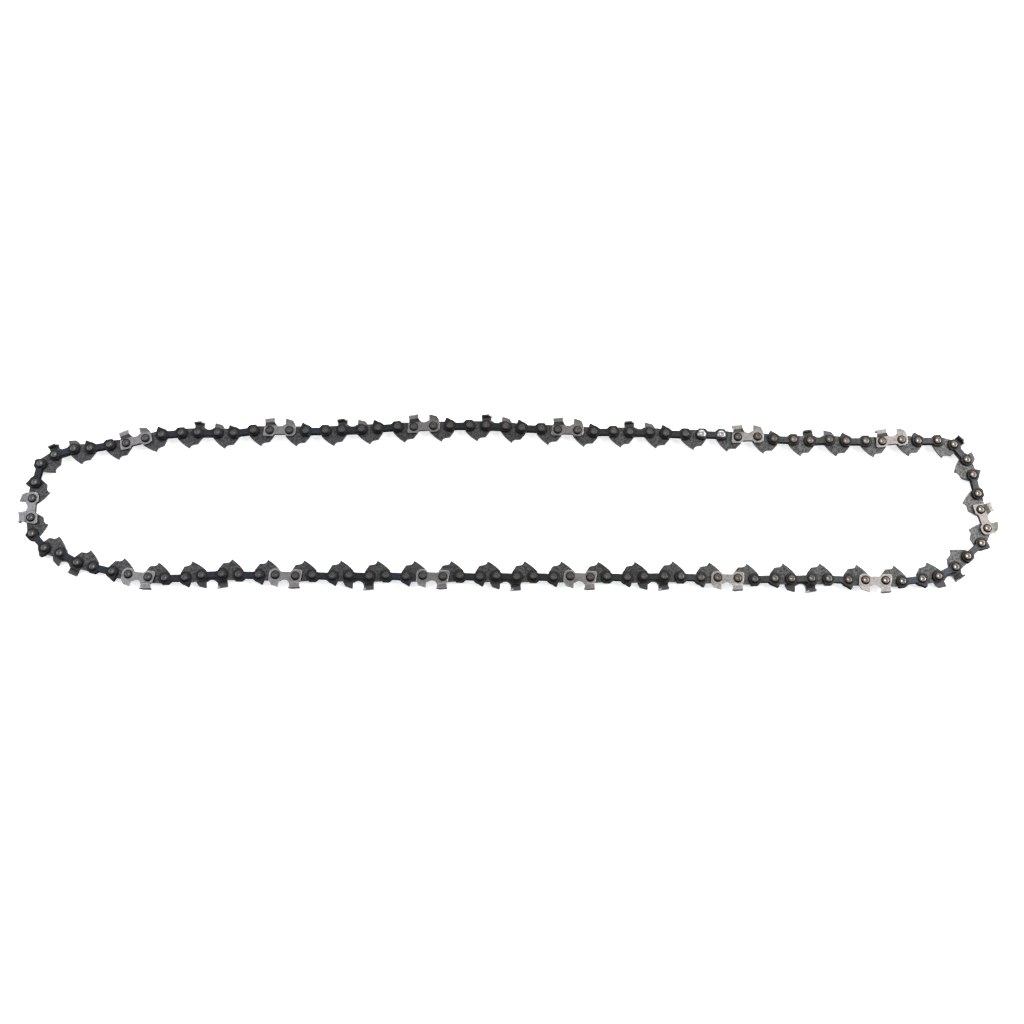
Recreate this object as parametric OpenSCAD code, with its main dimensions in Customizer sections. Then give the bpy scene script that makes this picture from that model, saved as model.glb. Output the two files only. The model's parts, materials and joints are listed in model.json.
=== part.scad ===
// Low-profile saw chain for a 400 mm guide bar: 57 drive links, 28 cutters and their
// straps, riveted into a closed loop that lies on its side. Millimetres, +Z up.
// The chain travels towards +X along its upper run (+Y side), so the loop runs clockwise
// and its teeth point outwards. Right-hand pieces are on the +Z side of the drive links.

/* [Pitch] */
// Distance between the two rivets of a drive link
drive_pitch = 8.5; // [8:0.1:9.2]
// Distance between the two rivets of a strap or cutter
strap_pitch = 10.14; // [9.6:0.02:10.8]

/* [Drive links] */
// Thickness of a drive link, which is the gauge of the bar groove
gauge = 1.3; // [1.1:0.1:1.6]
// Radius of a drive link's ears round its rivets
ear_r = 2.95; // [2.7:0.05:3.2]
// Height of a drive link's saddle above the rivet line
saddle_h = 2.65; // [2.5:0.05:2.9]
// Depth of a drive link's shoulders below the rivet line
shoulder_depth = 2.75; // [2.6:0.05:3]
// Depth of the tang's pointed tip below the rivet line
tang_depth = 8.2; // [7:0.1:9]

/* [Straps] */
// Thickness of a tie strap, plain strap or cutter plate
plate_t = 1.1; // [0.9:0.05:1.4]
// Radius of a strap's round ends
strap_end_r = 2.8; // [2.6:0.05:3]
// Half the height of a strap at its waist
waist_half_h = 1.65; // [1.3:0.05:2]
// Height of a tie strap's pointed bumper above the rivet line
bumper_h = 4.6; // [4:0.1:5.2]
// Height of the low flat hump at a tie strap's front end
hump_h = 3.1; // [2.9:0.1:3.5]
// Play between a drive link and the plate on each side of it
side_play = 0.06; // [0.04:0.01:0.1]

/* [Cutters] */
// Half the height of a cutter's side plate at its heel and toe
cutter_end_r = 3.2; // [3:0.05:3.4]
// Depth of a cutter's waist below the rivet line
cutter_waist_depth = 1.95; // [1.6:0.05:2.3]
// Height of the top plate's cutting corner above the rivet line
cutter_h = 6.8; // [6.2:0.1:7.2]
// Half the width of the cut, from the middle of the chain to a cutter's outer face
kerf_half = 3.1; // [2.8:0.05:3.4]
// Thickness of the flared side and the top plate
blade_t = 1; // [0.8:0.05:1.1]
// Height above the rivet line where the side plate starts to flare
flare_start = 2.7; // [2.5:0.05:3]
// Slope of the flare against the side plate in degrees
flare_angle = 40; // [35:1:50]
// Length of the top plate along its outer edge
top_plate_len = 6; // [5.2:0.1:6.6]
// Reach of the top plate past the middle of the chain
top_plate_reach = 0.5; // [0.2:0.1:1]
// Bend radius between the side and the top plate
top_bend_r = 0.7; // [0.5:0.1:1.2]
// Angle of the cutting edge in degrees, seen from above
filing_angle = 30; // [25:1:35]
// Fall of the top plate towards its heel in degrees
relief_angle = 7; // [4:1:9]
// Radius of the file that shapes the gullet
gullet_r = 2.7; // [2.4:0.05:2.9]
// Lowest point of the gullet above the rivet line
gullet_floor = 2.3; // [2.1:0.1:2.6]
// Depth gauge's setting below the cutting corner
gauge_drop = 0.65; // [0.4:0.05:0.8]
// Outward lean of the depth gauge in degrees
gauge_lean = 14; // [6:1:20]

/* [Rivets] */
// Diameter of the hub that turns in the drive link
hub_d = 4.2; // [3.8:0.1:4.4]
// Diameter of the shank through the straps
shank_d = 3; // [2.6:0.1:3.2]
// Diameter of the spun head
head_d = 4.7; // [4:0.1:4.9]
// Height of the spun head
head_h = 0.6; // [0.4:0.05:0.8]
// Radial play between a hub and its drive link
hub_play = 0.08; // [0.04:0.01:0.1]
// Radial play between a shank and its strap
shank_play = 0.02; // [0.01:0.01:0.04]

/* [Hidden] */
$fn = 40;
// Headings of the links in degrees, in order of travel. Each pair is a drive link
// and the section of straps that follows it.
upper_run_headings = [
    [-2, 1], [3, 2], [4, 4], [-1, 3], [1, 1], [0, -3], [-6, -2], [-4, -2], [-5, 1], [-2, 0]
];
rear_end_headings = [
    [180, 179], [178, 183], [189, 181], [177, 172], [170, 166], [165, 151], [162, 133], [98, 90],
    [85, 79], [34, 19], [2, 10], [6, 15], [14, 5], [2, -1], [-1, 8], [0, 0]
];
front_end_out_headings = [
    [-5, -2], [0, -2], [-9, 1], [-8, -2], [-4, 3], [-5, 0], [-1, 5], [-4, 1], [-15, -53], [-72, -80]
];
front_end_corner_heading = -85;
front_end_corner_strap_heading = -138;
front_end_back_headings = [
    [-139, -152], [-171, -173], [-183, -181], [-181, -183], [-181, -179], [-181, -178],
    [-183, -182], [-180, -183], [-181, -179]
];
// Pitch numbers, counted in order of travel: where each stretch of the loop starts
upper_run_start = 0;
front_end_start = len(upper_run_headings);
lower_run_start = front_end_start + len(front_end_out_headings) + len(front_end_back_headings) + 2;
rear_end_start = lower_run_start + len(upper_run_headings);
pitch_count = rear_end_start + len(rear_end_headings);
joining_pitch = front_end_start + 1;
cutter_spacing = 4;

// Half thicknesses and heights in the stack of plates
plate_in = gauge / 2 + side_play;
plate_out = plate_in + plate_t;
head_top = plate_out + head_h;
head_flank_share = 0.3;
head_crown_share = 0.7;

// Outlines, as shares of [end radius, height] about the rivet that each stands over
bumper_shares = [
    [-1, 0], [-0.97, 0.48], [-0.68, 0.97], [-0.58, 1], [-0.46, 0.98], [0.12, 0.76], [0.64, 0.63],
    [1.15, 0.36], [1.15, 0]
];
hump_shares = [[-1.3, 0.4], [-0.75, 0.88], [-0.55, 1], [0.5, 1], [0.68, 0.92], [1, 0]];
heel_shares = [
    [0, -1], [-0.8, -1], [-0.96, -0.88], [-1.02, -0.6], [-0.9, 0.3], [-0.78, 0.9], [-0.64, 1], [0, 1]
];
toe_shares = [[0, -1], [0.4, -1], [0.85, -0.72], [1, -0.35], [1, 0.8], [0.9, 0.98], [0, 1]];
// Tang, as shares of [drive pitch, tang depth]
tang_heel_share = -0.25;
tang_tip_share = 0.49;
tang_back_bulge_share = 3;
hook_shares = [0.765, 1.03];
hook_r_share = 0.28;
land_shares = [0.99, 0.72];
tang_toe_share = 1.255;
// Depth gauge, as shares of [strap pitch, gauge height]
gauge_shares = [
    [0.79, 0], [0.8, 0.94], [0.815, 0.99], [0.85, 1], [1.18, 0.84], [1.21, 0.79], [1.31, 0.52], [1.31, 0]
];
gullet_x_share = 0.53;
waist_fillet_share = 0.8;

function along(angle) = [cos(angle), sin(angle)];
function flat(pairs) = [for (pair = pairs) each pair];
function link_len(i) = i % 2 == 0 ? drive_pitch : strap_pitch;
function steps(headings, first = 0) =
    [for (i = [0 : len(headings) - 1]) link_len(i + first) * along(headings[i])];
function total(moves, i = 0) = i == len(moves) ? [0, 0] : moves[i] + total(moves, i + 1);
function walk(start, moves, i = 0) =
    i == len(moves) ? [start] : concat([start], walk(start + moves[i], moves, i + 1));
function all_but_last(list) = [for (i = [0 : len(list) - 2]) list[i]];
// Where two links of lengths a and b meet, left of the line from p to q
function elbow(p, q, a, b) =
    let (d = norm(q - p), u = (q - p) / d, x = (d * d + a * a - b * b) / (2 * d))
    p + x * u + sqrt(max(0, a * a - x * x)) * [-u[1], u[0]];

// The four corner rivets make a parallelogram: the lower run has the upper run's chord,
// with an even zigzag, and the front end has the rear end's chord
upper_moves = steps(flat(upper_run_headings));
chord = total(upper_moves);
chord_angle = atan2(chord[1], chord[0]);
pair_len = norm(chord) / len(upper_run_headings);
zigzag = acos((pair_len * pair_len - strap_pitch * strap_pitch - drive_pitch * drive_pitch)
    / (2 * strap_pitch * drive_pitch));
zigzag_drive = atan2(strap_pitch * sin(zigzag), drive_pitch + strap_pitch * cos(zigzag));
lower_headings = [for (pair = upper_run_headings) each [
    chord_angle + 180 + zigzag_drive, chord_angle + 180 + zigzag_drive - zigzag]];
lower_moves = steps(lower_headings);
rear_moves = steps(flat(rear_end_headings));
corner_a = [0, 0];
corner_b = corner_a + chord;
corner_d = corner_a - total(rear_moves);
corner_c = corner_d + chord;
out_moves = steps(concat(flat(front_end_out_headings), [front_end_corner_heading]));
back_moves = steps(concat([front_end_corner_strap_heading], flat(front_end_back_headings)), 1);
out_points = walk(corner_b, out_moves);
back_points = walk(corner_c - total(back_moves), back_moves);
tip_rivet = elbow(out_points[len(out_moves)], back_points[0], strap_pitch, drive_pitch);
loop_points = concat(
    all_but_last(walk(corner_a, upper_moves)),
    out_points, [tip_rivet], all_but_last(back_points),
    all_but_last(walk(corner_c, lower_moves)),
    all_but_last(walk(corner_d, rear_moves))
);
loop_x = [for (p = loop_points) p[0]];
loop_y = [for (p = loop_points) p[1]];
loop_middle = [(min(loop_x) + max(loop_x)) / 2, (min(loop_y) + max(loop_y)) / 2];
function rivet_at(i) = loop_points[i % (2 * pitch_count)] - loop_middle;

// What follows each drive link: 0 tie straps, 1 a right-hand cutter, 2 a left-hand cutter,
// 3 the joining straps
function turn_in_row(j) = (j < joining_pitch ? j + 1 : j) % cutter_spacing;
function kind(j) = j == joining_pitch ? 3 : turn_in_row(j) == 0 && j > 0 ? 1 : turn_in_row(j) == 2 ? 2 : 0;
right_cutter_pitches = [for (j = [0 : pitch_count - 1]) if (kind(j) == 1) j];
left_cutter_pitches = [for (j = [0 : pitch_count - 1]) if (kind(j) == 2) j];
stretches = [
    ["upper_run", upper_run_start, front_end_start - 1],
    ["front_end", front_end_start, lower_run_start - 1],
    ["lower_run", lower_run_start, rear_end_start - 1],
    ["rear_end", rear_end_start, pitch_count - 1]
];
function two_digits(n) = str(n < 10 ? "0" : "", n);
right_cutter_names = [for (i = [1 : len(right_cutter_pitches)]) str("right_cutter_", two_digits(i))];
left_cutter_names = [for (i = [1 : len(left_cutter_pitches)]) str("left_cutter_", two_digits(i))];
function stretch_names(stretch) = [for (what = [
    "_drive_links", "_pivot_drive_link", "_right_tie_straps", "_left_tie_straps", "_plain_straps",
    "_rivets", "_pivot_rivet"]) str(stretch[0], what)];

// Puts its children on the link from rivet i to the next, rear rivet at the origin
module on_link(i) {
    run = rivet_at(i + 1) - rivet_at(i);
    translate([rivet_at(i)[0], rivet_at(i)[1], kerf_half])
        rotate([0, 0, atan2(run[1], run[0])])
            children();
}

module on_rivet(i) {
    translate([rivet_at(i)[0], rivet_at(i)[1], kerf_half])
        children();
}

// Side 1 is the right-hand plate, above the drive links, and side -1 the left-hand plate
module plate_on_side(side) {
    mirror([0, 0, side > 0 ? 0 : 1])
        translate([0, 0, plate_in])
            linear_extrude(plate_t)
                children();
}

function scaled(shares, size) = [for (share = shares) [share[0] * size[0], share[1] * size[1]]];

// The cut that leaves a waist between a strap's ends, on the side of y given by up
module waist_cut(up, half_h = waist_half_h) {
    fillet_r = waist_fillet_share * half_h;
    from_x = waist_half_h;
    translate([0, up * (half_h + fillet_r)]) {
        translate([from_x + fillet_r, -fillet_r])
            square([strap_pitch - 2 * (from_x + fillet_r), 2 * fillet_r]);
        for (x = [from_x + fillet_r, strap_pitch - from_x - fillet_r])
            translate([x, 0])
                circle(r = fillet_r);
    }
}

module strap_bores() {
    for (x = [0, strap_pitch])
        translate([x, 0])
            circle(r = shank_d / 2 + shank_play);
}

module strap_bar() {
    translate([0, -strap_end_r])
        square([strap_pitch, 2 * strap_end_r]);
    for (x = [0, strap_pitch])
        translate([x, 0])
            circle(r = strap_end_r);
}

module waisted_bar() {
    difference() {
        strap_bar();
        waist_cut(1);
        waist_cut(-1);
    }
}

module plain_strap(side) {
    color("#33383d")
        plate_on_side(side)
            difference() {
                waisted_bar();
                strap_bores();
            }
}

module tie_strap(side) {
    color("#2a3138")
        plate_on_side(side)
            difference() {
                union() {
                    waisted_bar();
                    polygon(scaled(bumper_shares, [strap_end_r, bumper_h]));
                    translate([strap_pitch, 0])
                        polygon(scaled(hump_shares, [strap_end_r, hump_h]));
                }
                strap_bores();
            }
}

module joining_strap(side) {
    color("#3b4046")
        plate_on_side(side)
            difference() {
                union() {
                    waisted_bar();
                    mirror([1, 0])
                        polygon(scaled(hump_shares, [strap_end_r, hump_h]));
                    translate([strap_pitch, 0])
                        polygon(scaled(hump_shares, [strap_end_r, hump_h]));
                }
                strap_bores();
            }
}

// The tang's back is a long arc from the heel to the tip
module tang() {
    heel = [tang_heel_share * drive_pitch, -shoulder_depth];
    tip = [tang_tip_share * drive_pitch, -tang_depth];
    back = tip - heel;
    back_r = tang_back_bulge_share * norm(back);
    back_normal = [-back[1], back[0]] / norm(back);
    arc_middle = (heel + tip) / 2 + back_normal * sqrt(back_r * back_r - norm(back) * norm(back) / 4);
    hook = [hook_shares[0] * drive_pitch, -hook_shares[1] * tang_depth];
    hook_r = hook_r_share * tang_depth;
    land = [land_shares[0] * drive_pitch, -land_shares[1] * tang_depth];
    difference() {
        intersection() {
            polygon([
                [heel[0], heel[1] + shoulder_depth / 2], [heel[0], -tang_depth], tip,
                [hook[0], -tang_depth], [hook[0], hook[1] + hook_r], land,
                [tang_toe_share * drive_pitch, -shoulder_depth],
                [tang_toe_share * drive_pitch, -shoulder_depth / 2]
            ]);
            translate(arc_middle)
                circle(r = back_r, $fn = 360);
        }
        translate(hook)
            circle(r = hook_r);
    }
}

module drive_link() {
    color("#5b5b5e")
        translate([0, 0, -gauge / 2])
            linear_extrude(gauge)
                difference() {
                    union() {
                        for (x = [0, drive_pitch])
                            translate([x, 0])
                                circle(r = ear_r);
                        translate([0, -shoulder_depth])
                            square([drive_pitch, shoulder_depth + saddle_h]);
                        tang();
                    }
                    for (x = [0, drive_pitch])
                        translate([x, 0])
                            circle(r = hub_d / 2 + hub_play);
                }
}

// The cutter's flat side plate, with a round heel and a squarer toe
module cutter_side_plate() {
    difference() {
        union() {
            translate([0, -cutter_end_r])
                square([strap_pitch, 2 * cutter_end_r]);
            polygon(scaled(heel_shares, [cutter_end_r, cutter_end_r]));
            translate([strap_pitch, 0])
                polygon(scaled(toe_shares, [cutter_end_r, cutter_end_r]));
        }
        waist_cut(-1, cutter_waist_depth);
        gullet();
    }
}

// Extrudes a cross-section along the chain: its x becomes the height above the rivet
// line and its y the distance from the middle of the chain
module extrude_along_chain(length) {
    rotate([0, 90, 0])
        rotate([0, 0, 90])
            linear_extrude(length)
                children();
}

// The depth gauge stands on the side plate and leans outwards from its top
module depth_gauge() {
    gauge_h = cutter_h - gauge_drop;
    lean_out = (gauge_h - flare_start) * tan(gauge_lean);
    intersection() {
        linear_extrude(kerf_half)
            difference() {
                polygon(scaled(gauge_shares, [strap_pitch, gauge_h]));
                gullet();
            }
        extrude_along_chain(2 * strap_pitch)
            polygon([
                [waist_half_h, plate_in], [waist_half_h, plate_out], [flare_start, plate_out],
                [gauge_h, plate_out + lean_out], [gauge_h, plate_in + lean_out], [flare_start, plate_in]
            ]);
    }
}

module gullet() {
    translate([gullet_x_share * strap_pitch, gullet_floor + gullet_r])
        circle(r = gullet_r);
}

// Cross-section of the flared side and the top plate, seen along the chain
module blade_section() {
    lean = 1 / tan(flare_angle);
    inner_shift = blade_t / sin(flare_angle);
    wall_in = kerf_half - blade_t;
    top_in = cutter_h - blade_t;
    inner_start = flare_start + inner_shift - blade_t * lean;
    difference() {
        polygon([
            [waist_half_h, plate_out - blade_t], [waist_half_h, plate_out], [flare_start, plate_out],
            [flare_start + (kerf_half - plate_out) * lean, kerf_half],
            [cutter_h, kerf_half], [cutter_h, -top_plate_reach], [top_in, -top_plate_reach],
            [top_in, wall_in],
            [inner_start + (wall_in - plate_out + blade_t) * lean, wall_in],
            [inner_start, plate_out - blade_t]
        ]);
        difference() {
            translate([cutter_h - top_bend_r, kerf_half - top_bend_r])
                square(2 * top_bend_r);
            translate([cutter_h - top_bend_r, kerf_half - top_bend_r])
                circle(r = top_bend_r);
        }
    }
}

// The flared side and top plate, tilted back from the cutting corner and cut off at the
// filing angle
module blade() {
    corner_x = gullet_x_share * strap_pitch
        - sqrt(gullet_r * gullet_r - pow(cutter_h - gullet_floor - gullet_r, 2));
    difference() {
        translate([corner_x, cutter_h, 0])
            rotate([0, 0, relief_angle])
                translate([-top_plate_len, -cutter_h, 0])
                    extrude_along_chain(top_plate_len)
                        blade_section();
        translate([0, 0, -kerf_half])
            linear_extrude(3 * kerf_half)
                gullet();
        translate([corner_x, gullet_floor + gullet_r / 2, kerf_half])
            rotate([0, filing_angle, 0])
                translate([0, 0, -3 * kerf_half])
                    cube([top_plate_len, cutter_h, 4 * kerf_half]);
    }
}

module cutter(side) {
    color("#c9c6c6")
        mirror([0, 0, side > 0 ? 0 : 1])
            difference() {
                union() {
                    plate_on_side(1)
                        cutter_side_plate();
                    depth_gauge();
                    blade();
                }
                linear_extrude(kerf_half)
                    strap_bores();
            }
}

// Hub in the drive link, shanks in the plates and a spun head on each side
module rivet(shade = "#6f6963") {
    crown_r = head_crown_share * head_d / 2;
    flank_top = plate_out + head_flank_share * head_h;
    color(shade)
        rotate_extrude()
            polygon([
                [0, -head_top], [crown_r, -head_top], [head_d / 2, -flank_top], [head_d / 2, -plate_out],
                [shank_d / 2, -plate_out], [shank_d / 2, -plate_in], [hub_d / 2, -plate_in],
                [hub_d / 2, plate_in], [shank_d / 2, plate_in], [shank_d / 2, plate_out],
                [head_d / 2, plate_out], [head_d / 2, flank_top], [crown_r, head_top], [0, head_top]
            ]);
}

module right_cutter(i) {
    on_link(2 * right_cutter_pitches[i] + 1)
        cutter(1);
}

module left_cutter(i) {
    on_link(2 * left_cutter_pitches[i] + 1)
        cutter(-1);
}

module joining_straps() {
    on_link(2 * joining_pitch + 1)
        for (side = [-1, 1])
            joining_strap(side);
}

module joining_rivets() {
    for (i = [1, 2])
        on_rivet(2 * joining_pitch + i)
            rivet("#c9c9cc");
}

// Each stretch of the loop starts with the drive link that turns on its first rivet
module pivot_drive_link(stretch) {
    on_link(2 * stretch[1])
        drive_link();
}

module drive_links(stretch) {
    for (j = [stretch[1] + 1 : stretch[2]])
        on_link(2 * j)
            drive_link();
}

module tie_straps(stretch, side) {
    for (j = [stretch[1] : stretch[2]])
        if (kind(j) == 0)
            on_link(2 * j + 1)
                tie_strap(side);
}

// The plain strap that faces each cutter
module plain_straps(stretch) {
    for (j = [stretch[1] : stretch[2]])
        if (kind(j) == 1 || kind(j) == 2)
            on_link(2 * j + 1)
                plain_strap(kind(j) == 1 ? -1 : 1);
}

module rivets(stretch) {
    for (j = [stretch[1] : stretch[2]])
        if (kind(j) != 3) {
            on_rivet(2 * j + 1)
                rivet();
            if (j < stretch[2])
                on_rivet(2 * j + 2)
                    rivet();
        }
}

// Each stretch ends with the rivet that the next stretch turns on
module pivot_rivet(stretch) {
    on_rivet(2 * stretch[2] + 2)
        rivet();
}

for (i = [0 : len(right_cutter_names) - 1])
    right_cutter(i);
for (i = [0 : len(left_cutter_names) - 1])
    left_cutter(i);
joining_straps();
joining_rivets();
for (stretch = stretches) {
    names = stretch_names(stretch);
    drive_links(stretch);
    pivot_drive_link(stretch);
    tie_straps(stretch, 1);
    tie_straps(stretch, -1);
    plain_straps(stretch);
    rivets(stretch);
    pivot_rivet(stretch);
}
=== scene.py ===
import json
import math
import random

import bmesh
import bpy
from mathutils import Matrix, Vector


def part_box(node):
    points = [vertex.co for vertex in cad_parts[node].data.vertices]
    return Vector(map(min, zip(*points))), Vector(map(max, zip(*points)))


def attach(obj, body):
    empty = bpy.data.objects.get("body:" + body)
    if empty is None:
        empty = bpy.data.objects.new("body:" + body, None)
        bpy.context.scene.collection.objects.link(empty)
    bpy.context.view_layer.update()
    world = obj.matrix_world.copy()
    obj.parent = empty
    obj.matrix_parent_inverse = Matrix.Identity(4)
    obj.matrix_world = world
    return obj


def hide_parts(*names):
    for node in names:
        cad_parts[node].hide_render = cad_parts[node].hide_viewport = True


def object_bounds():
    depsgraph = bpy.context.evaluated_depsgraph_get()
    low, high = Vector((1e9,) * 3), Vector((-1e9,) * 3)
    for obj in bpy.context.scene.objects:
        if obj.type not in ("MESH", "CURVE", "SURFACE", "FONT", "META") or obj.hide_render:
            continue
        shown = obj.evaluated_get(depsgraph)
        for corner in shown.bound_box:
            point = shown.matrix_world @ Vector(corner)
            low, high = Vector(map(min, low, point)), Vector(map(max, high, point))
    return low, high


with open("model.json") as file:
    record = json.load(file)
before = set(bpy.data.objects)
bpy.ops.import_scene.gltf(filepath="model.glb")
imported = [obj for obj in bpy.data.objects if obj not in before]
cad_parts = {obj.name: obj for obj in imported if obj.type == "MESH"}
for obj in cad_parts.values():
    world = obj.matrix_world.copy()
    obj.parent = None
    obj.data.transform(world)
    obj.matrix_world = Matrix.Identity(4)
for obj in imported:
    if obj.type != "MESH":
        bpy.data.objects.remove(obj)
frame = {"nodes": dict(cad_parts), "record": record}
cad_box = [list(corner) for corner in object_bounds()]

# Drive links
# Flat links stamped from hardened spring steel, with a pointed, hooked tang that runs in
# the bar groove. They come out of the barrel dark and grainy, with rims rounded by tumbling.

MM = 0.001
SAME_POINT = 0.002 * MM
STRETCHES = ("upper_run", "front_end", "lower_run", "rear_end")
bodies = frame["record"]["behaviour"]["bodies"]
body_of_node = {node: body for body, nodes in bodies.items() for node in nodes}
loop_low, loop_high = (Vector(corner) for corner in cad_box)
loop_len = loop_high.x - loop_low.x
loop_middle_z = (loop_low.z + loop_high.z) / 2
tumbling = random.Random(57)


def solids_of(shape):
    """The separate solids of a mesh in the order of their points, each as a list of its points."""
    left = set(shape.verts)
    solids = []
    for first in shape.verts:
        if first not in left:
            continue
        left.remove(first)
        front = [first]
        solid = [first]
        while front:
            for edge in front.pop().link_edges:
                for vert in edge.verts:
                    if vert in left:
                        left.remove(vert)
                        front.append(vert)
                        solid.append(vert)
        solids.append(solid)
    return solids


def shape_of(node):
    """A copy of a node's solids with the points that coincide merged."""
    shape = bmesh.new()
    shape.from_mesh(frame["nodes"][node].data)
    bmesh.ops.remove_doubles(shape, verts=shape.verts, dist=SAME_POINT)
    return shape


def middles(node):
    """The middle of each solid of a node, seen from above."""
    shape = shape_of(node)
    places = []
    for solid in solids_of(shape):
        xs = [vert.co.x for vert in solid]
        ys = [vert.co.y for vert in solid]
        places.append(Vector(((min(xs) + max(xs)) / 2, (min(ys) + max(ys)) / 2, 0)))
    shape.free()
    return places


RIVET_NODES = [f"{stretch}_{part}" for stretch in STRETCHES for part in ("rivets", "pivot_rivet")]
rivet_places = [place for node in (*RIVET_NODES, "joining_rivets") for place in middles(node)]


def merged_copy(node):
    """A copy of a node's solids with the triangles joined into whole faces."""
    shape = shape_of(node)
    bmesh.ops.dissolve_limit(
        shape, angle_limit=math.radians(1), verts=shape.verts, edges=shape.edges, delimit=set())
    return shape


def face_outwards(shape):
    """Turns the faces of every solid outwards, which its volume tells where its rim doesn't."""
    bmesh.ops.recalc_face_normals(shape, faces=shape.faces)
    for solid in solids_of(shape):
        skin = list({face for vert in solid for face in vert.link_faces})
        volume = sum(face.verts[0].co.dot(face.normal) * face.calc_area() for face in skin) / 3
        if volume < 0:
            bmesh.ops.reverse_faces(shape, faces=skin)


def round_rims(shape, rim_r, segments, sharper_than=38):
    """Rounds every outward edge of a stamping that is sharper than an angle in degrees."""
    limit = math.radians(sharper_than)
    rims = [
        edge for edge in shape.edges
        if len(edge.link_faces) == 2 and edge.is_convex and edge.calc_face_angle(0) > limit]
    bmesh.ops.bevel(
        shape, geom=rims, offset=rim_r, offset_type="OFFSET", segments=segments, profile=0.5,
        affect="EDGES", material=-1, clamp_overlap=False)
    bmesh.ops.remove_doubles(shape, verts=shape.verts, dist=2 * SAME_POINT)
    face_outwards(shape)


def inward(face):
    """Distance of a face from the middle of the loop's height, positive where it looks that way."""
    return face.normal.z * (loop_middle_z - face.calc_center_median().z)


FOLD_DEPTH = 0.1 * MM
LEVEL = 0.001 * MM


def mend_points(shape):
    """Closes the tiny fold that rounding leaves in a flat link at the point of its tang."""
    folds = {face for face in shape.faces if inward(face) > FOLD_DEPTH}
    crossed = [
        edge for edge in shape.edges
        if not folds.isdisjoint(edge.link_faces)
        and abs(edge.verts[0].co.z - edge.verts[1].co.z) < LEVEL]
    bmesh.ops.collapse(shape, edges=crossed, uvs=False)


INNER_DEPTH = 0.5 * MM
INNER_AREA = MM ** 2
RIM_AREA = (0.8 * MM) ** 2


def mark_finish(shape):
    """Numbers each solid, notes its two rivets, and marks its worn edges, and its walls and inward
    faces for painted shade.
    """
    batch = shape.verts.layers.float.new("batch")
    rivet_one = shape.verts.layers.float_vector.new("rivet_one")
    rivet_two = shape.verts.layers.float_vector.new("rivet_two")
    wall_shade = shape.faces.layers.float.new("wall_shade")
    worn = shape.faces.layers.float.new("worn")
    for solid in solids_of(shape):
        number = tumbling.random()
        middle = sum((vert.co.xy for vert in solid), Vector((0, 0))) / len(solid)
        one, two = sorted(rivet_places, key=lambda place: (place.xy - middle).length)[:2]
        for vert in solid:
            vert[batch] = number
            vert[rivet_one] = one
            vert[rivet_two] = two
    for face in shape.faces:
        tilt = 1 - abs(face.normal.z)
        area = face.calc_area()
        inner = inward(face) > INNER_DEPTH and area > INNER_AREA
        # Painted shade: inward faces, which look towards the middle of the loop's height, are marked
        # fully, and other faces more the steeper they stand.
        face[wall_shade] = 1.0 if inner else min(1.0, 2.9 * tilt)
        face[worn] = 1.0 if 0.005 < tilt < 0.2 and area < RIM_AREA else 0.0


def mesh_from(shape, name):
    """A mesh of the shape, which is let go."""
    mesh = bpy.data.meshes.new(name)
    shape.to_mesh(mesh)
    shape.free()
    return mesh


def piece_for(node, name, shape, finish):
    """Makes the shape a piece that stands for a node and moves with its body."""
    mesh = mesh_from(shape, name)
    mesh.shade_smooth()
    mesh.set_sharp_from_angle(angle=math.radians(32))
    mesh.materials.append(finish)
    piece = bpy.data.objects.new(name, mesh)
    bpy.context.scene.collection.objects.link(piece)
    evenly = piece.modifiers.new("even_shading", "WEIGHTED_NORMAL")
    evenly.keep_sharp = True
    evenly.weight = 90
    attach(piece, body_of_node[node])
    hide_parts(node)


class Wire:
    """A shader socket that can stand in sums and products."""

    def __init__(self, tree, socket):
        self.tree = tree
        self.socket = socket

    def combined(self, operation, first, second):
        node = self.tree.nodes.new("ShaderNodeMath")
        node.operation = operation
        for value, socket in zip((first, second), node.inputs):
            if isinstance(value, Wire):
                self.tree.links.new(value.socket, socket)
            else:
                socket.default_value = value
        return Wire(self.tree, node.outputs[0])

    def __add__(self, other):
        return self.combined("ADD", self, other)

    __radd__ = __add__

    def __sub__(self, other):
        return self.combined("SUBTRACT", self, other)

    def __rsub__(self, other):
        return self.combined("SUBTRACT", other, self)

    def __mul__(self, other):
        return self.combined("MULTIPLY", self, other)

    __rmul__ = __mul__

    def at_least(self, other):
        return self.combined("MAXIMUM", self, other)

    def at_most(self, other):
        return self.combined("MINIMUM", self, other)

    def between(self, low, high):
        return self.at_least(low).at_most(high)


class Nodes:
    """A node tree whose nodes are added by kind, with their settings and sockets."""

    def __init__(self, tree):
        self.tree = tree

    def node(self, kind, out=0, stops=(), sockets=None, **settings):
        node = self.tree.nodes.new(kind)
        for setting, value in settings.items():
            setattr(node, setting, value)
        if stops:
            ramp = node.color_ramp
            while len(ramp.elements) < len(stops):
                ramp.elements.new(1)
            for element, (position, colour) in zip(ramp.elements, stops):
                element.position = position
                element.color = (*colour, 1)
        self.fill(node, sockets or {})
        return Wire(self.tree, node.outputs[out])

    def fill(self, node, sockets):
        for socket, value in sockets.items():
            if isinstance(value, Wire):
                self.tree.links.new(value.socket, node.inputs[socket])
            else:
                node.inputs[socket].default_value = value

    def tint(self, share, first, second):
        mix = self.node("ShaderNodeMix", out=2, data_type="RGBA", sockets={"Factor": share})
        for index, value in ((6, first), (7, second)):
            if isinstance(value, Wire):
                self.tree.links.new(value.socket, mix.socket.node.inputs[index])
            else:
                mix.socket.node.inputs[index].default_value = (*value, 1)
        return mix

    def tones(self, share, *stops):
        """Colours that change along a share from 0 to 1."""
        return self.node("ShaderNodeValToRGB", out="Color", stops=stops, sockets={"Fac": share})


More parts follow.
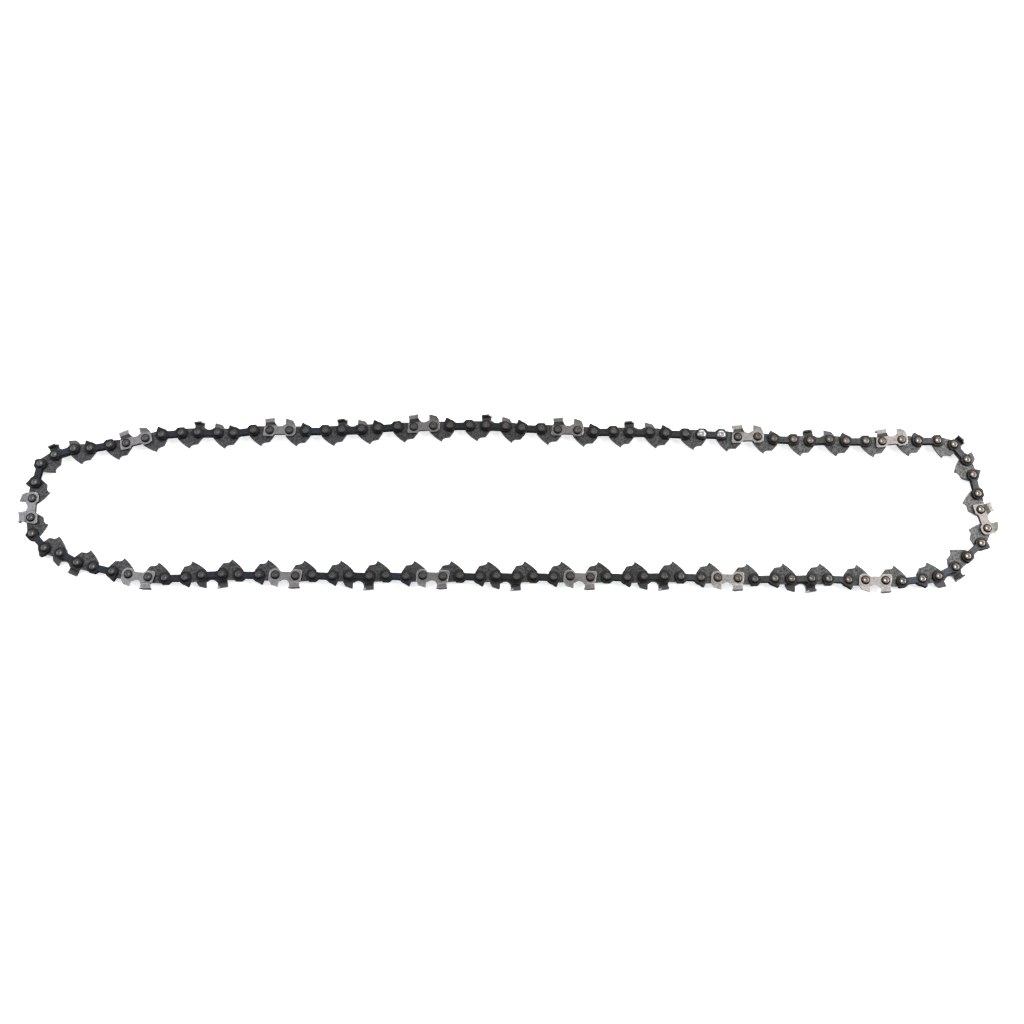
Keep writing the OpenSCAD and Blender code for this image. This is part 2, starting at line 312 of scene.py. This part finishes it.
class Finish(Nodes):
    """A steel or paint finish, mapped in millimetres on the chain itself."""

    def __init__(self, name):
        self.material = bpy.data.materials.new(name)
        self.material.use_nodes = True
        super().__init__(self.material.node_tree)
        self.shader = self.tree.nodes["Principled BSDF"]
        self.place = self.node("ShaderNodeTexCoord", out="Object")

    def noise(self, per_mm, detail=3, roughness=0.55):
        return self.node("ShaderNodeTexNoise", sockets={
            "Vector": self.place, "Scale": per_mm / MM, "Detail": detail, "Roughness": roughness})

    def along_loop(self):
        """0 at the left end of the loop and 1 at its right end."""
        x = self.node("ShaderNodeSeparateXYZ", out="X", sockets={"Vector": self.place})
        return (x - loop_low.x) * (1 / loop_len)

    def from_rivet(self):
        """Distance in millimetres from the axis of the nearer rivet."""
        flat = self.node(
            "ShaderNodeVectorMath", operation="MULTIPLY", sockets={0: self.place, 1: (1, 1, 0)})
        one, two = (
            self.node("ShaderNodeVectorMath", out="Value", operation="DISTANCE", sockets={
                0: flat, 1: self.node("ShaderNodeAttribute", out="Vector", attribute_name=name)})
            for name in ("rivet_one", "rivet_two"))
        return one.at_most(two) * (1 / MM)

    def spots(self, per_mm, share):
        """A mottle of a share of dark spots: 0 in them and 1 between them."""
        mottle = self.noise(per_mm, detail=4, roughness=0.75)
        return ((mottle - share) * 7 + 0.5).between(0, 1)

    def mark(self, name):
        """A number that every solid or face carries under a name."""
        return self.node("ShaderNodeAttribute", out="Fac", attribute_name=name)

    def relief(self, height, strength, depth_mm):
        """Fine relief of the surface, with its depth in millimetres."""
        return self.node("ShaderNodeBump", sockets={
            "Height": height, "Strength": strength, "Distance": depth_mm * MM})

    def done(self, **sockets):
        self.fill(self.shader, {key.replace("_", " "): value for key, value in sockets.items()})
        return self.material


SCALE_BLACK = (0.010, 0.010, 0.011)
# The colour of the painted shadow round the rivets on the drive links.
CONTACT_SHADE_BLACK = (0.006, 0.006, 0.006)
BARE_STEEL = (0.20, 0.20, 0.20)
# How far from a rivet's axis that painted shadow reaches, in millimetres.
CONTACT_SHADE_REACH_MM = 3.55

tang_steel = Finish("tang_steel")
grain = tang_steel.noise(1.3, detail=4, roughness=0.75)
smudge = tang_steel.noise(0.28, detail=2)
# Painted light: the links' tone runs along the loop, darkest midway and lightest at the right end, as
# the light falls, with a share of each link's own tone.
link_light_and_tone = tang_steel.tones(
    tang_steel.along_loop() * 0.8 + tang_steel.mark("batch") * 0.2,
    (0.0, (0.092, 0.092, 0.100)), (0.25, (0.088, 0.088, 0.092)), (0.5, (0.066, 0.067, 0.066)),
    (0.8, (0.125, 0.126, 0.122)), (1.0, (0.215, 0.215, 0.207)))
clean = tang_steel.spots(1.0, share=0.49)
# Painted shadow: a dark ring round each rivet, out past the strap and cutter ends, stands in for their
# contact shadow on the links.
contact_shade = ((CONTACT_SHADE_REACH_MM - tang_steel.from_rivet()) * 1.8).between(0, 0.7)
scale_colour = tang_steel.tint(clean * 0.75 + 0.25, SCALE_BLACK, link_light_and_tone)
# Painted shade: the ring and the marked walls and inward faces darken the links.
dark = contact_shade.at_least(tang_steel.mark("wall_shade") * 0.8)
shaded_link_colour = tang_steel.tint(dark, scale_colour, CONTACT_SHADE_BLACK)
drive_link_finish = tang_steel.done(
    Base_Color=tang_steel.tint(tang_steel.mark("worn") * 0.7, shaded_link_colour, BARE_STEEL),
    Metallic=0.8,
    Roughness=(0.42 + smudge * 0.22).at_most(1),
    Normal=tang_steel.relief(grain, strength=0.35, depth_mm=0.03))

for stretch in STRETCHES:
    for part in ("drive_links", "pivot_drive_link"):
        node = f"{stretch}_{part}"
        links = merged_copy(node)
        round_rims(links, rim_r=0.13 * MM, segments=2)
        mend_points(links)
        mark_finish(links)
        piece_for(node, f"{node}_steel", links, drive_link_finish)

# Plain straps and tie straps
# Thin plates, blued in the quench, that join the drive links in pairs. A tie strap has a
# pointed bumper over its rear rivet, and a plain strap faces each cutter.

STRAP_RIM_R = 0.26 * MM
STRAP_DARK_REACH_MM = 3.15
STRONG_BLUE = (0.035, 0.070, 0.11)
STRAP_SPOT = (0.012, 0.012, 0.012)
# The colour that the strap faces darken to near the rivets.
STRAP_END_DARK = (0.008, 0.009, 0.011)
# The colour of the painted shade on the straps' walls and inward faces.
STRAP_WALL_SHADE = (0.006, 0.006, 0.007)

blued_steel = Finish("blued_steel")
# Partly painted light and partly the bluing: the ramp along the loop is lighter towards the right end
# and shifts in hue; each strap adds a share of its own tone.
bluing_and_light = blued_steel.tones(
    blued_steel.along_loop() + blued_steel.mark("batch") * 0.12 - 0.06,
    (0.0, (0.033, 0.036, 0.049)), (0.2, (0.031, 0.039, 0.054)), (0.42, (0.024, 0.032, 0.035)),
    (0.65, (0.040, 0.046, 0.046)), (0.8, (0.078, 0.088, 0.085)), (1.0, (0.092, 0.098, 0.102)))
film = blued_steel.noise(0.35, detail=3)
scuffs = blued_steel.noise(3.5, detail=4, roughness=0.65)
strong_blue = (blued_steel.mark("batch") * 6 - 5).at_least(0)
strap_colour = blued_steel.tint(strong_blue * 0.5, bluing_and_light, STRONG_BLUE)
mottled = blued_steel.tint(
    blued_steel.spots(0.8, share=0.48) * 0.5 + 0.5, STRAP_SPOT, strap_colour)
# The strap faces are darker near the rivets, out to a reach in millimetres.
darker_end = ((STRAP_DARK_REACH_MM - blued_steel.from_rivet()) * 3).between(0, 0.4)
blued_colour = blued_steel.tint(darker_end, mottled, STRAP_END_DARK)
# The straps' walls and inward faces get painted shade.
strap_finish = blued_steel.done(
    Base_Color=blued_steel.tint(blued_steel.mark("wall_shade") * 0.9, blued_colour, STRAP_WALL_SHADE),
    Metallic=0.85,
    Roughness=(0.24 + scuffs * 0.2 + film * 0.14 + blued_steel.mark("wall_shade") * 0.35).at_most(1),
    Normal=blued_steel.relief(scuffs, strength=0.2, depth_mm=0.02))

for stretch in STRETCHES:
    for part in ("plain_straps", "right_tie_straps", "left_tie_straps"):
        node = f"{stretch}_{part}"
        straps = merged_copy(node)
        round_rims(straps, rim_r=STRAP_RIM_R, segments=3)
        mark_finish(straps)
        piece_for(node, f"{node}_blued", straps, strap_finish)

# Joining straps
# The pair of plates with which the loop was closed: the same steel, with a low hump at
# both ends and no bumper.

joining = merged_copy("joining_straps")
round_rims(joining, rim_r=STRAP_RIM_R, segments=3)
mark_finish(joining)
piece_for("joining_straps", "joining_straps_blued", joining, strap_finish)

# Cutters
# Each is one plate, flared outwards and folded over the chain, and hard chromed; the side that faces
# the drive links is painted dark as painted shade. The gullet is ground bright.

CUTTERS_A_SIDE = 14
CHROME_SPOT = (0.09, 0.088, 0.09)
WORN_CHROME = (0.62, 0.60, 0.60)
# The colour of the painted shade on the cutters' walls and inward faces.
CUTTER_WALL_SHADE = (0.02, 0.02, 0.02)
# The colour of the painted shade on the faces of a cutter that look towards the drive links.
INSIDE_SHADE = (0.09, 0.09, 0.093)
GROUND_STEEL = (0.42, 0.42, 0.44)

cutter_chrome = Finish("cutter_chrome")
brushing = cutter_chrome.noise(4.0, detail=4, roughness=0.6)
cloud = cutter_chrome.noise(0.25, detail=2)
# Painted light: the chrome's tone along the loop is darkest midway and lightest towards the right end,
# broken by a slow cloud.
chrome_and_light = cutter_chrome.tones(
    cutter_chrome.along_loop() + cloud * 0.16 - 0.08,
    (0.0, (0.33, 0.325, 0.345)), (0.2, (0.33, 0.32, 0.33)), (0.37, (0.25, 0.245, 0.24)),
    (0.53, (0.20, 0.19, 0.185)), (0.67, (0.42, 0.39, 0.37)), (0.85, (0.53, 0.49, 0.465)),
    (1.0, (0.46, 0.42, 0.385)))
mottled_chrome = cutter_chrome.tint(
    cutter_chrome.spots(0.8, share=0.46) * 0.5 + 0.5, CHROME_SPOT, chrome_and_light)
worn_chrome = cutter_chrome.tint(cutter_chrome.mark("worn"), mottled_chrome, WORN_CHROME)
# Painted shade on the cutters' walls and inward faces.
wall_shaded_chrome = cutter_chrome.tint(cutter_chrome.mark("wall_shade") * 0.9, worn_chrome, CUTTER_WALL_SHADE)
# Painted shade: the faces that look towards the drive links are coloured dark.
plate_colour = cutter_chrome.tint(cutter_chrome.mark("outer"), INSIDE_SHADE, wall_shaded_chrome)
cutter_finish = cutter_chrome.done(
    Base_Color=cutter_chrome.tint(cutter_chrome.mark("ground"), plate_colour, GROUND_STEEL),
    Metallic=0.9,
    Roughness=(0.22 + brushing * 0.2 + cutter_chrome.mark("wall_shade") * 0.3).at_most(1),
    Normal=cutter_chrome.relief(brushing, strength=0.2, depth_mm=0.02))


def mark_outer_and_ground(shape, side):
    """Marks the chromed outer faces and the ground faces of a cutter that stands on a side of 1 or -1;
    the faces that are not outer get painted shade.
    """
    any_point = next(iter(shape.verts))
    rear, front = (
        any_point[shape.verts.layers.float_vector[name]].xy for name in ("rivet_one", "rivet_two"))
    along = (front - rear).normalized()
    outwards = Vector((-along.y, along.x))
    reach = [(vert.co.xy - rear).dot(outwards) for vert in shape.verts]
    if max(reach) < -min(reach):
        rear, front, along, outwards = front, rear, -along, -outwards
    pitch = (front - rear).length
    outer = shape.faces.layers.float.new("outer")
    ground = shape.faces.layers.float.new("ground")
    for face in shape.faces:
        from_rear = face.calc_center_median().xy - rear
        in_gullet = (
            0.2 * pitch < from_rear.dot(along) < 0.8 * pitch and from_rear.dot(outwards) > 0.2 * pitch)
        face[ground] = 1.0 if in_gullet and abs(face.normal.z) < 0.65 else 0.0
        face[outer] = 0.0 if face.normal.z * side < -0.35 else 1.0


for side, hand in ((1, "right"), (-1, "left")):
    for number in range(1, CUTTERS_A_SIDE + 1):
        node = f"{hand}_cutter_{number:02d}"
        cutter = merged_copy(node)
        round_rims(cutter, rim_r=0.14 * MM, segments=2, sharper_than=25)
        mark_finish(cutter)
        mark_outer_and_ground(cutter, side)
        piece_for(node, f"{node}_chromed", cutter, cutter_finish)

# Rivets
# Turned steel: a wide hub that the drive link swings on, a shank through each plate and
# a head spun over it, which leaves a rounded shoulder and a shallow dimple.

rivet_low, rivet_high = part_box("upper_run_pivot_rivet")
head_r = (rivet_high.x - rivet_low.x) / 2
head_top = (rivet_high.z - rivet_low.z) / 2
rivet_middle_z = (rivet_high.z + rivet_low.z) / 2
strap_low, strap_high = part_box("upper_run_right_tie_straps")
hub_top = strap_low.z - rivet_middle_z
plate_top = strap_high.z - rivet_middle_z
head_h = head_top - plate_top
hub_r = 0.89 * head_r
shank_r = 0.635 * head_r
# The colour that a head darkens to towards its rim, outside the painted highlight.
HEAD_RIM_BROWN = (0.045, 0.042, 0.040)
# The colour of the painted shade on the shoulder round a head.
SHOULDER_SHADE_BROWN = (0.014, 0.010, 0.008)


def turned_rivet():
    """Half of the rivet's outline spun round its axis, and the other half mirrored."""
    shape = bmesh.new()
    spun_head = (
        (0, 0.27), (0.12, 0.27), (0.3, 0.02), (0.36, 0), (0.56, 0), (0.62, 0.03),
        (0.7, 0.16), (0.8, 0.42), (0.92, 0.74))
    outline = [(r_share * head_r, head_top - drop_share * head_h) for r_share, drop_share in spun_head]
    outline += [
        (head_r, plate_top), (shank_r, plate_top), (shank_r, hub_top), (hub_r, hub_top), (hub_r, 0)]
    verts = [shape.verts.new((r, 0, z)) for r, z in outline]
    edges = [shape.edges.new(pair) for pair in zip(verts, verts[1:])]
    bmesh.ops.spin(
        shape, geom=verts + edges, cent=(0, 0, 0), axis=(0, 0, 1), angle=math.tau, steps=24,
        use_merge=True)
    bmesh.ops.remove_doubles(shape, verts=shape.verts, dist=SAME_POINT)
    bmesh.ops.mirror(shape, geom=shape.faces[:], axis="Z", merge_dist=SAME_POINT)
    bmesh.ops.remove_doubles(shape, verts=shape.verts, dist=SAME_POINT)
    bmesh.ops.recalc_face_normals(shape, faces=shape.faces)
    return shape


def rivets_of(node):
    """Turned rivets at the places of a node's rivets."""
    blank = mesh_from(turned_rivet(), "rivet_blank")
    shape = bmesh.new()
    for centre in middles(node):
        centre.z = rivet_middle_z
        turn = Matrix.Rotation(tumbling.random() * math.tau, 4, "Z")
        rivet = blank.copy()
        rivet.transform(Matrix.Translation(centre) @ turn)
        shape.from_mesh(rivet)
        bpy.data.meshes.remove(rivet)
    bpy.data.meshes.remove(blank)
    return shape


rivet_steel = Finish("rivet_steel")
spinning = rivet_steel.noise(2.5, detail=4, roughness=0.6)
# Painted light: along the loop the heads go from cool grey at the left to a light, warm tan at the
# right, with a share of each rivet's own tone.
rivet_tone_and_light = rivet_steel.tones(
    rivet_steel.along_loop() * 0.85 + rivet_steel.mark("batch") * 0.15,
    (0.0, (0.165, 0.163, 0.175)), (0.35, (0.125, 0.123, 0.12)), (0.5, (0.14, 0.134, 0.123)),
    (0.7, (0.20, 0.18, 0.155)), (0.85, (0.39, 0.335, 0.28)), (1.0, (0.38, 0.315, 0.26)))
from_axis = rivet_steel.from_rivet() * (MM / head_r)
# Painted highlight: each head is lighter at the middle and darker towards the rim, in a mottle.
mottled_highlight = (from_axis * 0.9 + spinning * 3 - 1.5).between(0, 1)
head_colour = rivet_steel.tint(mottled_highlight, rivet_tone_and_light, HEAD_RIM_BROWN)
# Painted shade: the shoulder round each head is coloured almost black.
shoulder = ((from_axis - 0.62) * 14).between(0, 0.94)
rivet_finish = rivet_steel.done(
    Base_Color=rivet_steel.tint(shoulder, head_colour, SHOULDER_SHADE_BROWN),
    Metallic=0.9,
    Roughness=(0.18 + spinning * 0.2 + shoulder * 0.3).at_most(1),
    Normal=rivet_steel.relief(spinning, strength=0.2, depth_mm=0.02))

for node in RIVET_NODES:
    rivets = rivets_of(node)
    mark_finish(rivets)
    piece_for(node, f"{node}_spun", rivets, rivet_finish)

# Joining rivets
# The two rivets that closed the loop were spun later, and their heads are still bright.

bright_steel = Finish("bright_steel")
polish = bright_steel.noise(1.5, detail=3)
# Painted shade: the shoulder round a bright head is coloured almost black.
bright_shoulder = ((bright_steel.from_rivet() * (MM / head_r) - 0.68) * 14).between(0, 0.8)
bright_head = bright_steel.tint(polish, (0.36, 0.36, 0.38), (0.56, 0.56, 0.58))
bright_finish = bright_steel.done(
    Base_Color=bright_steel.tint(bright_shoulder, bright_head, (0.05, 0.05, 0.05)),
    Metallic=1.0,
    Roughness=(0.28 + polish * 0.12).at_most(1),
    Normal=bright_steel.relief(polish, strength=0.1, depth_mm=0.02))
joining_pair = rivets_of("joining_rivets")
mark_finish(joining_pair)
piece_for("joining_rivets", "joining_rivets_bright", joining_pair, bright_finish)

# Table and backdrop
# A plain white light table, whose own glow leaves only a faint shadow where the chain lies
# on it.

TABLE_HALF_M = 6
TABLE_BELOW = 0.02 * MM

table_paint = Finish("table_paint")
paint_tone = table_paint.noise(0.02, detail=2)
table_finish = table_paint.done(
    Base_Color=table_paint.tint(paint_tone, (0.93, 0.93, 0.93), (0.96, 0.96, 0.96)),
    Roughness=0.7,
    Emission_Color=(1, 1, 1, 1),
    Emission_Strength=0.6)
table_shape = bmesh.new()
bmesh.ops.create_grid(table_shape, x_segments=2, y_segments=2, size=TABLE_HALF_M)
table_mesh = mesh_from(table_shape, "table")
table_mesh.materials.append(table_finish)
table = bpy.data.objects.new("table", table_mesh)
table.location.z = loop_low.z - TABLE_BELOW
bpy.context.scene.collection.objects.link(table)

# Light
# Wide soft boxes to the left, to the right and behind the loop, where its flat faces don't
# mirror them, in a room that is pale behind and dark where the camera stands.

def soft_box(name, place, width, height, watts):
    """A rectangular lamp that faces the loop."""
    lamp = bpy.data.lights.new(name, "AREA")
    lamp.shape = "RECTANGLE"
    lamp.size = width
    lamp.size_y = height
    lamp.energy = watts
    box = bpy.data.objects.new(name, lamp)
    box.location = place
    box.rotation_euler = (-Vector(place)).to_track_quat("-Z", "Y").to_euler()
    bpy.context.scene.collection.objects.link(box)


soft_box("right_box", place=(1.3, 0.2, 0.9), width=0.9, height=0.9, watts=28)
soft_box("left_box", place=(-1.3, 0.2, 0.9), width=0.9, height=0.9, watts=14)
soft_box("back_box", place=(0.2, 1.8, 0.7), width=2.0, height=0.6, watts=34)

room = bpy.data.worlds.new("room")
room.use_nodes = True
bpy.context.scene.world = room
walls = Nodes(room.node_tree)
direction = walls.node("ShaderNodeTexCoord", out="Generated")
towards_back = walls.node("ShaderNodeSeparateXYZ", out="Y", sockets={"Vector": direction})
wall_tone = walls.tones(
    towards_back * 0.5 + 0.5,
    (0.0, (0.10, 0.10, 0.10)), (0.38, (0.16, 0.16, 0.16)), (0.5, (0.62, 0.62, 0.64)),
    (1.0, (0.85, 0.85, 0.87)))
walls.fill(room.node_tree.nodes["Background"], {"Color": wall_tone, "Strength": 1.0})
bpy.context.scene.view_settings.view_transform = "Standard"

# Camera
# It looks steeply down from the lower edge of the picture, far enough back for the whole
# loop, and aims at the tops of the rivets.

ELEVATION = math.radians(76)
CAMERA_BACK = 0.78
PICTURE_PX = 1024
FOCAL_PX = 1530
SENSOR_MM = 36
aim = Vector((1.73 * MM, -5.34 * MM, 5.5 * MM))
camera = bpy.data.cameras.new("camera")
camera.sensor_width = SENSOR_MM
camera.lens = FOCAL_PX / PICTURE_PX * SENSOR_MM
camera.clip_start = 0.01
camera.clip_end = 20
viewpoint = bpy.data.objects.new("camera", camera)
viewpoint.location = aim + CAMERA_BACK * Vector((0, -math.cos(ELEVATION), math.sin(ELEVATION)))
viewpoint.rotation_euler = (math.pi / 2 - ELEVATION, 0, 0)
bpy.context.scene.collection.objects.link(viewpoint)
bpy.context.scene.camera = viewpoint
